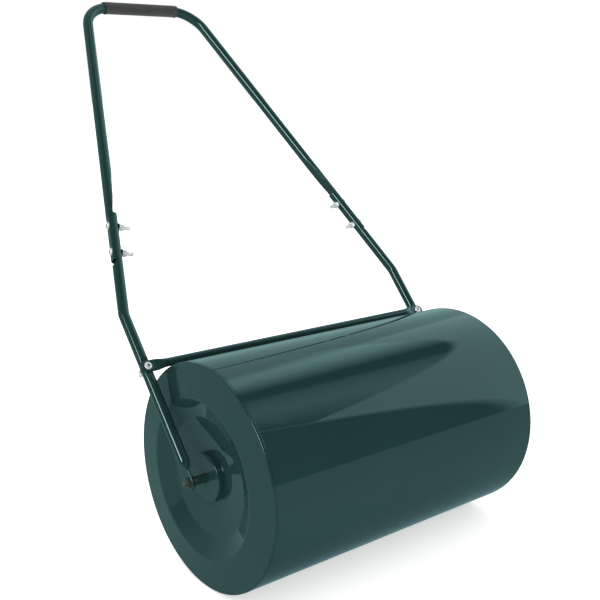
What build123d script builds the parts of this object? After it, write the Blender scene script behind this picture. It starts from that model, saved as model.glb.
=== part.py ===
from build123d import *
import os
from math import cos, pi, sin

os.makedirs("parts", exist_ok=True)

# Lawn roller. Millimetres, +Z up, forward +X, drum axle along Y.
# The origin lies on the ground, straight below the middle of the drum.

# ---- driving dimensions -------------------------------------------------------
drum_radius = 160.0
drum_length = 500.0
sheet = 1.5

# dished end cap, depths measured inward from the drum's end plane
rim_round = 4.0
cap_flange = 14.0
rib_radius = 112.0
rib_depth = -5.0
floor_radius = 84.0
floor_depth = 7.6
dish_depth = 13.4

# hub boss on each cap: a low drum with a lip that shields the bush
boss_radius = 34.0
boss_shoulder_radius = 33.4
boss_face_radius = 32.2
boss_face_depth = 3.3
boss_edge = 1.2
boss_bore = 6.8
boss_lip = 2.5

# axle, bushes and the tube that keeps the ballast away from them
axle_radius = 5.0
axle_end_radius = 4.08
thread_radius = 3.9
thread_chamfer = 0.7
bush_clearance = 0.08
bush_radius = 9.0
bush_length = 24.0
centre_tube_radius = 11.0
axle_stub = 3.2
spacer_radius = 6.2
spacer_clearance = 0.05
fit_gap = 0.3
edge_break = 1.0
round_tolerance = 0.01

# handle frame: a flat frame that leans to the rear about the axle
lean = 40.6
arm_offset = 267.6
tube = 16.0
bow_size = 17.0
tube_wall = 1.5
bend_height = 261.1
bend_radius = 16.0
leg_angle = 15.17
eye_thickness = 3.2
eye_slit = 0.4
tip_roundness = 0.53
tip_spare = 1.0
eye_shift = 4.8
eye_length = 13.0
eye_taper = 17.0

# The bolted lap joint between each arm and the handle bow. Both tubes are pressed
# half round there. Lengths run along the leg from the arm's bend, and offsets
# outward from the arm's axis.
lap_start = 91.0
lap_end = 175.0
lap_solid_end = 5.0
lap_bolts = (106.6, 153.1)
arm_press = ((82.0, 8.0), (90.0, 0.8))
arm_seat = -7.2
arm_seat_run = ((92.0, -8.0), (97.0, -7.2))
bow_offset = 0.8
bow_press = (
    (177.0, 0.8),
    (184.0, 0.3),
    (193.0, -0.9),
    (204.0, -2.2),
    (222.0, -3.2),
    (241.0, -4.7),
    (261.0, -7.7),
)
bow_seat = 7.8
bow_seat_run = ((166.0, 7.8), (174.0, 9.4))
corner_height = 855.5
corner_radius = 58.0

# cross brace in front of the arms
brace_height = 173.0
brace_tube = 12.5
brace_wall = 1.2
brace_eye = 3.0
brace_taper = 20.0
brace_eye_margin = 2.0
brace_eye_reach = 11.5
brace_seat = 6.0
brace_seat_half = 12.0
brace_seat_slope = 4.0

# foam grip
grip_length = 148.0
grip_diameter = 21.0

# fasteners
m6_radius = 3.0
m6_hole = 3.3
m8_hole = 4.2
m6_nut = 10.0
m6_nut_height = 5.0
m8_nut = 13.0
m8_thin_nut_height = 4.0
lap_nut_height = 7.5
nut_clearance = 0.02
small_washer = (6.0, 1.2)
axle_washer = (8.0, 1.6)
brace_head = (5.7, 2.5)
lap_head = (5.8, 3.0)
head_rounding = 0.55
bolt_chamfer = 0.5
brace_thread = 7.0
lap_thread = 10.5
socket_flats = 4.0
socket_depth = 2.2

# filler opening and its screw-in plug
filler_radius = 58.0
filler_angle = 4.4
filler_bore = 12.0
collar_radius = 17.0
collar_length = 16.0
plug_clearance = 0.35
gasket_radius = 16.0
gasket = 1.5
plug_head = 17.0
plug_head_height = 3.0
plug_wing = (24.0, 5.0, 3.5)

# ---- derived places ------------------------------------------------------------
half = drum_length / 2
axle_centre = Vector(0, 0, drum_radius)
tube_radius = tube / 2
boss_face = half - boss_face_depth
centre_tube_end = boss_face - boss_lip
spacer_start = centre_tube_end + fit_gap
eye_inner_face = arm_offset + eye_shift - eye_thickness / 2
eye_outer_face = arm_offset + eye_shift + eye_thickness / 2
inner_nut_face = eye_inner_face - m8_thin_nut_height
washer_face = inner_nut_face - axle_washer[1]
outer_nut_face = eye_outer_face + m8_thin_nut_height
axle_tip = outer_nut_face + axle_stub

# The handle plane: local x runs across the roller, local y up the leaning frame,
# and its normal points to the front.
lean_rad = lean * pi / 180
handle_plane = Plane(
    origin=axle_centre,
    x_dir=(0, 1, 0),
    z_dir=(cos(lean_rad), 0, sin(lean_rad)),
)
leg_rad = leg_angle * pi / 180
brace_front = brace_seat + brace_eye / 2


def stadium_width(diameter, thickness):
    """Overall width of a round tube's section once it is pressed to a thickness."""
    straight = pi * (diameter - thickness) / 2
    return straight + thickness


eye_width = stadium_width(tube, eye_thickness)
brace_eye_width = stadium_width(brace_tube, brace_eye)


def leg_point(along, outward=0.0):
    """Handle-plane point on the right leg's upper axis, above the arm's bend."""
    x = arm_offset - along * sin(leg_rad) + outward * cos(leg_rad)
    y = bend_height + along * cos(leg_rad) + outward * sin(leg_rad)
    return (x, y)


def section_plane(point, tilt=0.0):
    """Plane across a tube at a handle-plane point: x is frontward, z is up the tube."""
    centre = handle_plane.from_local_coords(Vector(point[0], point[1], 0))
    along = handle_plane.x_dir * -sin(tilt) + handle_plane.y_dir * cos(tilt)
    return Plane(origin=centre, x_dir=handle_plane.z_dir, z_dir=along)


def tube_section(plane, width, thickness):
    """Round when width equals thickness, otherwise flat-sided with round edges."""
    radius = thickness / 2
    reach = (width - thickness) / 2
    with BuildSketch(plane) as section:
        with BuildLine():
            if reach < round_tolerance:
                for start in (-45, 45, 135, 225):
                    CenterArc((0, 0), radius, start, 90)
            else:
                CenterArc((reach, 0), radius, -90, 180)
                Line((reach, radius), (-reach, radius))
                CenterArc((-reach, 0), radius, 90, 180)
                Line((-reach, -radius), (reach, -radius))
        make_face()
    return section.sketch


def disc(plane, radius, hole=0.0):
    """A round face on a plane, with a round hole if one is asked for."""
    with BuildSketch(plane) as face:
        Circle(radius)
        if hole > 0:
            Circle(hole, mode=Mode.SUBTRACT)
    return face.sketch


def hexagon(plane, flats, hole=0.0):
    """A hexagonal face of a given width across flats."""
    with BuildSketch(plane) as face:
        RegularPolygon(flats / 2, 6, major_radius=False)
        if hole > 0:
            Circle(hole, mode=Mode.SUBTRACT)
    return face.sketch


def pressed_run(first, second, inset=0.0, mode=Mode.ADD):
    """Straight tube run between two (plane, width, thickness) sections."""
    ends = [
        tube_section(plane, width - 2 * inset, thickness - 2 * inset)
        for plane, width, thickness in (first, second)
    ]
    loft(ends, ruled=True, mode=mode)


def bore(plane, radius):
    """Round hole through the active part, both ways from a plane."""
    extrude(disc(plane, radius), amount=tube, both=True, mode=Mode.SUBTRACT)


# ---- drum ------------------------------------------------------------------------
def drum_profile_plane():
    """Plane with local x along the axle and local y outward from it."""
    return Plane(origin=axle_centre, x_dir=(0, 1, 0), z_dir=(1, 0, 0))


axle_axis = Axis(axle_centre, (0, 1, 0))

with BuildPart() as drum_shell:
    with BuildSketch(drum_profile_plane()):
        with Locations((0, drum_radius - sheet / 2)):
            Rectangle(drum_length - 2 * rim_round, sheet)
    revolve(axis=axle_axis)
drum_shell.part.label = "drum_shell"
export_step(drum_shell.part, "parts/drum_shell.step")


def cap_outline(side, inset):
    """Points of the cap's pressed face, from the rim's round to the hub boss."""
    stations = (
        (half - inset, drum_radius - rim_round),
        (half - rib_depth - inset, rib_radius),
        (half - floor_depth - inset, floor_radius),
        (half - dish_depth - inset, boss_radius),
    )
    return [(side * along, radius) for along, radius in stations]


def filler_plane(side, along):
    """Plane across the filler's axis, facing out of the drum's end."""
    turn = filler_angle * pi / 180
    centre = axle_centre + Vector(filler_radius * cos(turn), side * along, -filler_radius * sin(turn))
    return Plane(origin=centre, x_dir=(1, 0, 0), z_dir=(0, side, 0))


def make_cap(side, name, filler):
    """Pressed end cap: a dished face with a turned rim and a flange inside the shell."""
    outer = cap_outline(side, 0)
    under = cap_outline(side, sheet)
    hole = centre_tube_radius + fit_gap
    rim = side * (half - rim_round)
    rim_under = rim - side * sheet
    flange_end = rim - side * cap_flange
    flange_radius = drum_radius - sheet
    with BuildPart() as cap:
        with BuildSketch(drum_profile_plane()):
            with BuildLine():
                Polyline(
                    (rim, drum_radius),
                    (rim, flange_radius),
                    (flange_end, flange_radius),
                    (flange_end, flange_radius - sheet),
                    (rim_under, flange_radius - sheet),
                    *under,
                    (under[-1][0], hole),
                    (outer[-1][0], hole),
                    *reversed(outer),
                )
                RadiusArc(outer[0], (rim, drum_radius), side * rim_round)
            make_face()
        revolve(axis=axle_axis)
        if filler:
            extrude(
                disc(filler_plane(side, half), collar_radius),
                amount=2 * dish_depth,
                both=True,
                mode=Mode.SUBTRACT,
            )
    cap.part.label = name
    export_step(cap.part, "parts/" + name + ".step")


make_cap(-1, "end_cap_left", filler=False)
make_cap(1, "end_cap_right", filler=True)


def make_boss(side, name):
    """Low round hub boss, whose lip covers the centre tube and shields the bush."""
    back = side * (half - dish_depth)
    face = side * boss_face
    with BuildPart() as boss:
        with BuildSketch(drum_profile_plane()):
            with BuildLine():
                Polyline(
                    (back, centre_tube_radius),
                    (back, boss_radius),
                    (face - side * boss_edge, boss_shoulder_radius),
                    (face, boss_face_radius),
                    (face, boss_bore),
                    (side * centre_tube_end, boss_bore),
                    (side * centre_tube_end, centre_tube_radius),
                    close=True,
                )
            make_face()
        revolve(axis=axle_axis)
    boss.part.label = name
    export_step(boss.part, "parts/" + name + ".step")


make_boss(-1, "hub_boss_left")
make_boss(1, "hub_boss_right")

with BuildPart() as centre_tube:
    with BuildSketch(Plane.XZ.offset(-centre_tube_end)):
        with Locations((0, drum_radius)):
            Circle(centre_tube_radius)
            Circle(bush_radius, mode=Mode.SUBTRACT)
    extrude(amount=2 * centre_tube_end)
centre_tube.part.label = "centre_tube"
export_step(centre_tube.part, "parts/centre_tube.step")


def axle_plane(side, along):
    """Plane across the axle, facing outward."""
    return Plane(origin=axle_centre + Vector(0, side * along, 0), x_dir=(1, 0, 0), z_dir=(0, side, 0))


def make_bush(side, name):
    """Plain nylon bush pressed into the centre tube's end."""
    inner = axle_radius + bush_clearance
    with BuildPart() as bush:
        start = axle_plane(side, centre_tube_end - bush_length)
        extrude(disc(start, bush_radius, inner), amount=bush_length)
    bush.part.label = name
    export_step(bush.part, "parts/" + name + ".step")


make_bush(-1, "bush_left")
make_bush(1, "bush_right")

# ---- filler ------------------------------------------------------------------------
filler_face = boss_face

with BuildPart() as filler_collar:
    with BuildSketch(filler_plane(1, filler_face)):
        Circle(collar_radius)
        Circle(filler_bore, mode=Mode.SUBTRACT)
    extrude(amount=-collar_length)
    chamfer(filler_collar.edges().group_by(Axis.Y)[-1].sort_by(SortBy.RADIUS)[-1], length=edge_break)
filler_collar.part.label = "filler_collar"
export_step(filler_collar.part, "parts/filler_collar.step")

with BuildPart() as filler_gasket:
    extrude(disc(filler_plane(1, filler_face), gasket_radius, filler_bore + fit_gap), amount=gasket)
filler_gasket.part.label = "filler_gasket"
export_step(filler_gasket.part, "parts/filler_gasket.step")

plug_seat = filler_face + gasket + fit_gap
with BuildPart() as filler_plug:
    extrude(disc(filler_plane(1, plug_seat), plug_head), amount=plug_head_height)
    chamfer(filler_plug.edges().group_by(Axis.Y)[-1], length=edge_break)
    extrude(disc(filler_plane(1, plug_seat), filler_bore - plug_clearance), amount=-collar_length)
    with BuildSketch(filler_plane(1, plug_seat + plug_head_height)):
        SlotOverall(plug_wing[0], plug_wing[1])
    extrude(amount=plug_wing[2])
filler_plug.part.label = "filler_plug"
export_step(filler_plug.part, "parts/filler_plug.step")

# ---- axle --------------------------------------------------------------------------
with BuildPart() as axle_rod:
    with BuildSketch(drum_profile_plane()):
        with BuildLine():
            Polyline(
                (-axle_tip, 0),
                (-axle_tip, thread_radius - thread_chamfer),
                (-axle_tip + thread_chamfer, thread_radius),
                (-outer_nut_face, thread_radius),
                (-outer_nut_face, axle_end_radius),
                (-washer_face, axle_end_radius),
                (-washer_face, axle_radius),
                (washer_face, axle_radius),
                (washer_face, axle_end_radius),
                (outer_nut_face, axle_end_radius),
                (outer_nut_face, thread_radius),
                (axle_tip - thread_chamfer, thread_radius),
                (axle_tip, thread_radius - thread_chamfer),
                (axle_tip, 0),
                close=True,
            )
        make_face()
    revolve(axis=axle_axis)
axle_rod.part.label = "axle_rod"
export_step(axle_rod.part, "parts/axle_rod.step")


def axle_ring(name, side, start, height, radius, hole):
    """Round ring on the axle, such as a washer or a spacer."""
    with BuildPart() as ring:
        extrude(disc(axle_plane(side, start), radius, hole), amount=height)
    ring.part.label = name
    export_step(ring.part, "parts/" + name + ".step")


def axle_nut(name, side, start):
    """Thin M8 nut on the axle."""
    with BuildPart() as nut:
        hole = axle_end_radius + nut_clearance
        extrude(hexagon(axle_plane(side, start), m8_nut, hole), amount=m8_thin_nut_height)
    nut.part.label = name
    export_step(nut.part, "parts/" + name + ".step")


for side, word in ((-1, "left"), (1, "right")):
    spacer_length = washer_face - spacer_start
    spacer_hole = axle_radius + spacer_clearance
    axle_ring("spacer_" + word, side, spacer_start, spacer_length, spacer_radius, spacer_hole)
    axle_ring("axle_washer_" + word, side, washer_face, axle_washer[1], axle_washer[0], m8_hole)
    axle_nut("inner_nut_" + word, side, inner_nut_face)
    axle_nut("axle_nut_" + word, side, eye_outer_face)

# ---- arms --------------------------------------------------------------------------
round_start = eye_length + eye_taper
lap_clear = 2 * tube


def leg_path(points, radius):
    """Tube axis in the handle plane, with rounded corners."""
    with BuildLine(handle_plane) as path:
        FilletPolyline(*points, radius=radius)
    return path.line


def across_plane(point, tilt=0.0):
    """Plane in line with the tube, whose normal points outward in the handle plane."""
    centre = handle_plane.from_local_coords(Vector(point[0], point[1], 0))
    outward = handle_plane.x_dir * cos(tilt) + handle_plane.y_dir * sin(tilt)
    return Plane(origin=centre, x_dir=handle_plane.z_dir, z_dir=outward)


def end_waste(plane, width, toward):
    """What is cut from a flattened tube's end to round it; the plane lies on the tip."""
    radius = tip_roundness * width
    with BuildSketch(plane) as waste:
        with Locations((0, toward * (tip_spare - width / 4))):
            Rectangle(width + 2 * tip_spare, width / 2 + 2 * tip_spare)
        with Locations((0, -toward * radius)):
            Circle(radius, mode=Mode.SUBTRACT)
    return waste.sketch


def leg_waste(points, grow):
    """Area of the handle plane beside the right leg, given as (along, outward) points."""
    with BuildSketch(handle_plane) as waste:
        with BuildLine():
            Polyline(*[leg_point(*point) for point in points], close=True)
        make_face()
        if grow > 0:
            offset(amount=grow, kind=Kind.INTERSECTION)
    return waste.sketch


def press_waste(run, low, high, reach):
    """Closed outline of what pressing removes: the run, closed at a reach beyond the tube."""
    start, end = run[0], run[-1]
    lead = [(low, start[1])] if low < start[0] else []
    tail = [(high, end[1])] if high > end[0] else []
    outline = lead + list(run) + tail
    return outline + [(outline[-1][0], reach), (outline[0][0], reach)]


def seat_waste(grow):
    """Side view of the flat that is pressed into the arm's front under the brace's eye."""
    side_view = Plane(origin=axle_centre, x_dir=handle_plane.y_dir, z_dir=(0, 1, 0))
    low = brace_height - brace_seat_half
    high = brace_height + brace_seat_half
    rise = tube_radius - brace_seat
    with BuildSketch(side_view.offset(arm_offset)) as waste:
        with BuildLine():
            Polyline(
                (low - brace_seat_slope, brace_seat + rise),
                (low, brace_seat),
                (high, brace_seat),
                (high + brace_seat_slope, brace_seat + rise),
                (high + brace_seat_slope, tube),
                (low - brace_seat_slope, tube),
                close=True,
            )
        make_face()
        if grow > 0:
            offset(amount=grow, kind=Kind.INTERSECTION)
    return waste.sketch


def arm_blank(inset):
    """The right arm without its holes, drawn in all round by an inset."""
    eye_across = arm_offset + eye_shift
    full = section_plane((arm_offset, round_start))
    eye_top = section_plane((eye_across, eye_length))
    eye_gap = eye_thickness if inset == 0 else 2 * inset + eye_slit
    top = lap_end + tip_spare if inset == 0 else lap_end - lap_solid_end
    size = tube - 2 * inset
    far = lap_end + lap_clear
    wastes = (
        leg_waste(press_waste(arm_press, arm_press[0][0], far, lap_clear), inset),
        leg_waste(press_waste(arm_seat_run, arm_seat_run[0][0], far, -lap_clear), inset),
    )
    path = leg_path(
        ((arm_offset, round_start), (arm_offset, bend_height), leg_point(top)),
        bend_radius,
    )
    with BuildPart() as blank:
        sweep(tube_section(full, size, size), path=path)
        for waste in wastes:
            extrude(waste, amount=tube, both=True, mode=Mode.SUBTRACT)
        extrude(seat_waste(inset), amount=tube, both=True, mode=Mode.SUBTRACT)
        pressed_run((eye_top, eye_width, eye_gap), (full, tube, tube), inset)
        if inset == 0:
            tip = section_plane((eye_across, -eye_width / 2 - tip_spare))
            pressed_run((tip, eye_width, eye_thickness), (eye_top, eye_width, eye_thickness))
    return blank.part


with BuildPart() as arm_right:
    add(arm_blank(0))
    add(arm_blank(tube_wall), mode=Mode.SUBTRACT)
    eye_tip = across_plane((arm_offset, -eye_width / 2))
    extrude(end_waste(eye_tip, eye_width, 1), amount=tube, both=True, mode=Mode.SUBTRACT)
    lap_tip = across_plane(leg_point(lap_end), leg_rad)
    extrude(end_waste(lap_tip, tube, -1), amount=tube, both=True, mode=Mode.SUBTRACT)
    bore(across_plane((arm_offset, 0)), m8_hole)
    for along in lap_bolts:
        bore(across_plane(leg_point(along), leg_rad), m6_hole)
    brace_hole = handle_plane.from_local_coords(Vector(arm_offset, brace_height, 0))
    bore(Plane(origin=brace_hole, z_dir=handle_plane.z_dir), m6_hole)
arm_right.part.label = "arm_right"
export_step(arm_right.part, "parts/arm_right.step")

with BuildPart() as arm_left:
    mirror(arm_right.part, about=Plane.XZ)
arm_left.part.label = "arm_left"
export_step(arm_left.part, "parts/arm_left.step")

# ---- handle bow --------------------------------------------------------------------
def mirrored(plane):
    """The same plane on the roller's other side, its normal turned with it."""
    origin = Vector(plane.origin.X, -plane.origin.Y, plane.origin.Z)
    normal = Vector(plane.z_dir.X, -plane.z_dir.Y, plane.z_dir.Z)
    return Plane(origin=origin, x_dir=plane.x_dir, z_dir=normal)


def bow_corner():
    """Where the leg's axis, carried on, meets the top bar's axis."""
    start = leg_point(0, bow_offset)
    rise = (corner_height - start[1]) / cos(leg_rad)
    return (start[0] - rise * sin(leg_rad), corner_height)


def bow_blank(inset):
    """The handle bow without its holes, drawn in all round by an inset."""
    start = leg_point(lap_start, bow_offset)
    corner = bow_corner()
    points = (start, corner, (-corner[0], corner[1]), (-start[0], start[1]))
    size = bow_size - 2 * inset
    wastes = (
        leg_waste(press_waste(bow_press, lap_start - tube, 0, -lap_clear), inset),
        leg_waste(press_waste(bow_seat_run, lap_start - tube, 0, lap_clear), inset),
    )
    with BuildPart() as blank:
        sweep(
            tube_section(section_plane(start, leg_rad), size, size),
            path=leg_path(points, corner_radius),
        )
        for waste in wastes:
            extrude(waste, amount=tube, both=True, mode=Mode.SUBTRACT)
            extrude(mirror(waste, about=Plane.XZ), amount=tube, both=True, mode=Mode.SUBTRACT)
    return blank.part


with BuildPart() as handle_bow:
    add(bow_blank(0))
    add(bow_blank(tube_wall), mode=Mode.SUBTRACT)
    for along in lap_bolts:
        hole_plane = across_plane(leg_point(along), leg_rad)
        bore(hole_plane, m6_hole)
        bore(mirrored(hole_plane), m6_hole)
handle_bow.part.label = "handle_bow"
export_step(handle_bow.part, "parts/handle_bow.step")

turn_rad = pi / 2 - leg_rad
bar_half = bow_corner()[0] - corner_radius * sin(turn_rad / 2) / cos(turn_rad / 2)
grip_turn = (grip_length / 2 - bar_half) / corner_radius * 180 / pi
bow_radius = bow_size / 2


def grip_bend(side):
    """The stretch of the handle's corner that the grip's end covers."""
    with BuildLine(handle_plane) as path:
        start = (side * bar_half, corner_height)
        JernArc(start=start, tangent=(side, 0), radius=corner_radius, arc_size=-side * grip_turn)
    return path.line


def grip_plane(side):
    """Plane across the top bar where the corner starts."""
    centre = handle_plane.from_local_coords(Vector(side * bar_half, corner_height, 0))
    return Plane(origin=centre, x_dir=handle_plane.z_dir, z_dir=(0, side, 0))


with BuildPart() as grip_sleeve:
    extrude(disc(grip_plane(1), grip_diameter / 2, bow_radius), amount=-2 * bar_half)
    for side in (-1, 1):
        grip_end = disc(grip_plane(side), grip_diameter / 2, bow_radius)
        sweep(grip_end, path=grip_bend(side))
grip_sleeve.part.label = "grip_sleeve"
export_step(grip_sleeve.part, "parts/grip_sleeve.step")

# ---- cross brace -------------------------------------------------------------------
brace_centre = handle_plane.from_local_coords(Vector(0, brace_height, brace_front))
brace_eye_end = arm_offset + brace_eye_reach
brace_eye_start = arm_offset - brace_eye_width / 2 - brace_eye_margin
brace_round_end = brace_eye_start - brace_taper


def brace_plane(across):
    """Plane across the brace tube, x up the handle frame and z to the right."""
    return Plane(
        origin=brace_centre + Vector(0, across, 0),
        x_dir=handle_plane.y_dir,
        z_dir=(0, 1, 0),
    )


def brace_tube_run(inset, mode):
    """Brace tube between its two pressed ends."""
    eye_gap = brace_eye if inset == 0 else 2 * inset + eye_slit
    for sign in (-1, 1):
        pressed_run(
            (brace_plane(sign * brace_eye_start), brace_eye_width, eye_gap),
            (brace_plane(sign * brace_round_end), brace_tube, brace_tube),
            inset,
            mode,
        )
    pressed_run(
        (brace_plane(-brace_round_end), brace_tube, brace_tube),
        (brace_plane(brace_round_end), brace_tube, brace_tube),
        inset,
        mode,
    )


def brace_eye_plane(side):
    """Plane on a brace eye's bolt axis, x outward and its normal to the front."""
    centre = handle_plane.from_local_coords(Vector(side * arm_offset, brace_height, brace_front))
    return Plane(origin=centre, x_dir=(0, side, 0), z_dir=handle_plane.z_dir)


def brace_tip_plane(side):
    """Plane at the tip of a brace eye, y outward along the brace."""
    tip = brace_centre + Vector(0, side * brace_eye_end, 0)
    return Plane(origin=tip, x_dir=handle_plane.y_dir, z_dir=handle_plane.z_dir * -side)


with BuildPart() as cross_brace:
    brace_tube_run(0, Mode.ADD)
    for sign in (-1, 1):
        pressed_run(
            (brace_plane(sign * brace_eye_start), brace_eye_width, brace_eye),
            (brace_plane(sign * (brace_eye_end + tip_spare)), brace_eye_width, brace_eye),
        )
    brace_tube_run(brace_wall, Mode.SUBTRACT)
    for sign in (-1, 1):
        waste = end_waste(brace_tip_plane(sign), brace_eye_width, 1)
        extrude(waste, amount=tube, both=True, mode=Mode.SUBTRACT)
        bore(brace_eye_plane(sign), m6_hole)
cross_brace.part.label = "cross_brace"
export_step(cross_brace.part, "parts/cross_brace.step")


# ---- bolts, washers and nuts ----------------------------------------------------------
def bolt_solid(plane, length, head):
    """Bolt whose socketed round head sits on the plane and whose shank runs below it."""
    radius, height = head
    with BuildPart() as bolt:
        extrude(disc(plane, radius), amount=height)
        rim = bolt.faces().filter_by(plane).sort_by(Axis(plane.origin, plane.z_dir))[-1]
        fillet(rim.edges(), radius=head_rounding * height)
        extrude(disc(plane, m6_radius), amount=-length)
        tip = bolt.faces().filter_by(plane).sort_by(Axis(plane.origin, plane.z_dir))[0]
        chamfer(tip.edges(), length=bolt_chamfer)
        socket = hexagon(plane.offset(height - socket_depth), socket_flats)
        extrude(socket, amount=height, mode=Mode.SUBTRACT)
    return bolt.part


def nut_solid(plane, flats, height, hole):
    """Hexagon nut standing on the plane."""
    with BuildPart() as nut_blank:
        extrude(hexagon(plane, flats, hole), amount=height)
    return nut_blank.part


def washer_solid(plane):
    """Small washer standing on the plane."""
    with BuildPart() as ring:
        extrude(disc(plane, small_washer[0], m6_hole), amount=small_washer[1])
    return ring.part


def brace_bolt_plane(side, height):
    """Plane square to the handle frame on a brace bolt's axis."""
    return brace_eye_plane(side).offset(height - brace_front)


def lap_bolt_planes(side, offset):
    """Planes on the two lap bolts' axes, facing outward, at an offset from the leg."""
    planes = [across_plane(leg_point(along, offset), leg_rad) for along in lap_bolts]
    return planes if side > 0 else [mirrored(plane) for plane in planes]


def flipped(plane):
    """The same plane seen from behind."""
    return Plane(origin=plane.origin, x_dir=plane.x_dir, z_dir=-plane.z_dir)


brace_head_seat = brace_seat + brace_eye
stack = small_washer[1] + m6_nut_height
lap_stack = small_washer[1] + lap_nut_height
m6_nut_hole = m6_radius + nut_clearance

for side, word in ((-1, "left"), (1, "right")):
    with BuildPart() as brace_bolt:
        shank = brace_head_seat + tube_radius + stack + brace_thread
        add(bolt_solid(brace_bolt_plane(side, brace_head_seat), shank, brace_head))
    brace_bolt.part.label = "brace_bolt_" + word
    export_step(brace_bolt.part, "parts/brace_bolt_" + word + ".step")

    back = flipped(brace_bolt_plane(side, -tube_radius))
    with BuildPart() as brace_washer:
        add(washer_solid(back))
    brace_washer.part.label = "brace_washer_" + word
    export_step(brace_washer.part, "parts/brace_washer_" + word + ".step")

    with BuildPart() as brace_nut:
        add(nut_solid(back.offset(small_washer[1]), m6_nut, m6_nut_height, m6_nut_hole))
    brace_nut.part.label = "brace_nut_" + word
    export_step(brace_nut.part, "parts/brace_nut_" + word + ".step")

    with BuildPart() as lap_bolt_pair:
        for plane in lap_bolt_planes(side, bow_seat):
            add(bolt_solid(plane, bow_seat - arm_seat + lap_stack + lap_thread, lap_head))
    lap_bolt_pair.part.label = "lap_bolts_" + word
    export_step(lap_bolt_pair.part, "parts/lap_bolts_" + word + ".step")

    with BuildPart() as lap_washer_pair:
        for plane in lap_bolt_planes(side, arm_seat):
            add(washer_solid(flipped(plane)))
    lap_washer_pair.part.label = "lap_washers_" + word
    export_step(lap_washer_pair.part, "parts/lap_washers_" + word + ".step")

    with BuildPart() as lap_nut_pair:
        for plane in lap_bolt_planes(side, arm_seat):
            stand = flipped(plane).offset(small_washer[1])
            add(nut_solid(stand, m6_nut, lap_nut_height, m6_nut_hole))
    lap_nut_pair.part.label = "lap_nuts_" + word
    export_step(lap_nut_pair.part, "parts/lap_nuts_" + word + ".step")
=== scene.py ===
import math
import random

import bmesh
import bpy
from mathutils import Matrix, Vector, noise


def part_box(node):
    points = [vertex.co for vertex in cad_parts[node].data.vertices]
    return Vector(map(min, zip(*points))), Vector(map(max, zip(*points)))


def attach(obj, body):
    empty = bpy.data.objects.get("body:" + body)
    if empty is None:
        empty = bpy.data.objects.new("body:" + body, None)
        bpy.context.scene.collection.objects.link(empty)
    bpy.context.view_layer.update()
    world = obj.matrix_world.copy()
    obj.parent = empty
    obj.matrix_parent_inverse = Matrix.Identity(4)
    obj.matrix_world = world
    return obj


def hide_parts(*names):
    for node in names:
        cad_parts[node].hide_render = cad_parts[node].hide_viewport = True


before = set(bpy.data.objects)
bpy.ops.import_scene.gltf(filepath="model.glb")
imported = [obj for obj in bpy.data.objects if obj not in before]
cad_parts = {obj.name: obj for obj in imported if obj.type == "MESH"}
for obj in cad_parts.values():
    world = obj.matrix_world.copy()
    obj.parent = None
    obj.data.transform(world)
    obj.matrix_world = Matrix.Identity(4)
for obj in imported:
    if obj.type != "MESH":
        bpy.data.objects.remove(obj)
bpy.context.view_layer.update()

random.seed(7)

# ---- driving sizes, in metres ----------------------------
SHELL_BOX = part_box("drum_shell")
AXLE = (SHELL_BOX[0] + SHELL_BOX[1]) / 2
DRUM_R = (SHELL_BOX[1].z - SHELL_BOX[0].z) / 2
AXLE_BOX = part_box("axle_rod")
AXLE_TIP = AXLE_BOX[1].y
SHELL_END = SHELL_BOX[1].y
RIM_ROUND = 0.004
HALF = SHELL_END + RIM_ROUND
SHEET = 0.0015

LEAN = math.radians(40.6)
UP_FRAME = Vector((-math.sin(LEAN), 0, math.cos(LEAN)))
FRONT = Vector((math.cos(LEAN), 0, math.sin(LEAN)))
RIGHT = Vector((0, 1, 0))

ARM_OFFSET = 0.2676
TUBE = 0.016
BOW_SIZE = 0.017
TUBE_WALL = 0.0015
BEND_HEIGHT = 0.2611
BEND_RADIUS = 0.016
LEG = math.radians(15.17)
EYE_THICK = 0.0032
EYE_SHIFT = 0.0048
EYE_LENGTH = 0.013
EYE_TAPER = 0.017
# lap joint: lengths run along the leg, offsets outward from the arm's axis
LAP_START = 0.091
LAP_END = 0.175
LAP_BOLTS = (0.1066, 0.1531)
ARM_PRESS = ((0.082, 0.0085), (0.090, 0.0008))
ARM_SEAT = ((0.092, -0.0085), (0.097, -0.0072))
BOW_OFFSET = 0.0008
BOW_PRESS = (
    (0.177, 0.0008),
    (0.184, 0.0003),
    (0.193, -0.0009),
    (0.204, -0.0022),
    (0.222, -0.0032),
    (0.241, -0.0047),
    (0.261, -0.0081),
)
BOW_SEAT = ((0.166, 0.0078), (0.174, 0.0098))
TOP_HEIGHT = 0.8555
CORNER_RADIUS = 0.058
BRACE_HEIGHT = 0.173
BRACE_TUBE = 0.0125
BRACE_EYE = 0.003
BRACE_TAPER = 0.020
BRACE_REACH = 0.0115
BRACE_EYE_MARGIN = 0.002
BRACE_SEAT = 0.006
BRACE_SEAT_HALF = 0.012
BRACE_SEAT_SLOPE = 0.5
GRIP_LENGTH = 0.148
GRIP_RADIUS = 0.0105


def pressed_width(diameter, thick):
    """Overall width of a round tube pressed to a thickness."""
    return math.pi * (diameter - thick) / 2 + thick


EYE_WIDTH = pressed_width(TUBE, EYE_THICK)
BRACE_EYE_WIDTH = pressed_width(BRACE_TUBE, BRACE_EYE)


def frame_point(across, up, front=0.0):
    """Point of the leaning handle frame, from across, up-the-frame and front distances."""
    return AXLE + RIGHT * across + UP_FRAME * up + FRONT * front


def leg_point(along, outward=0.0):
    """Handle-plane (across, up) on the right leg's upper axis above the arm's bend."""
    across = ARM_OFFSET - along * math.sin(LEG) + outward * math.cos(LEG)
    up = BEND_HEIGHT + along * math.cos(LEG) + outward * math.sin(LEG)
    return (across, up)


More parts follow.
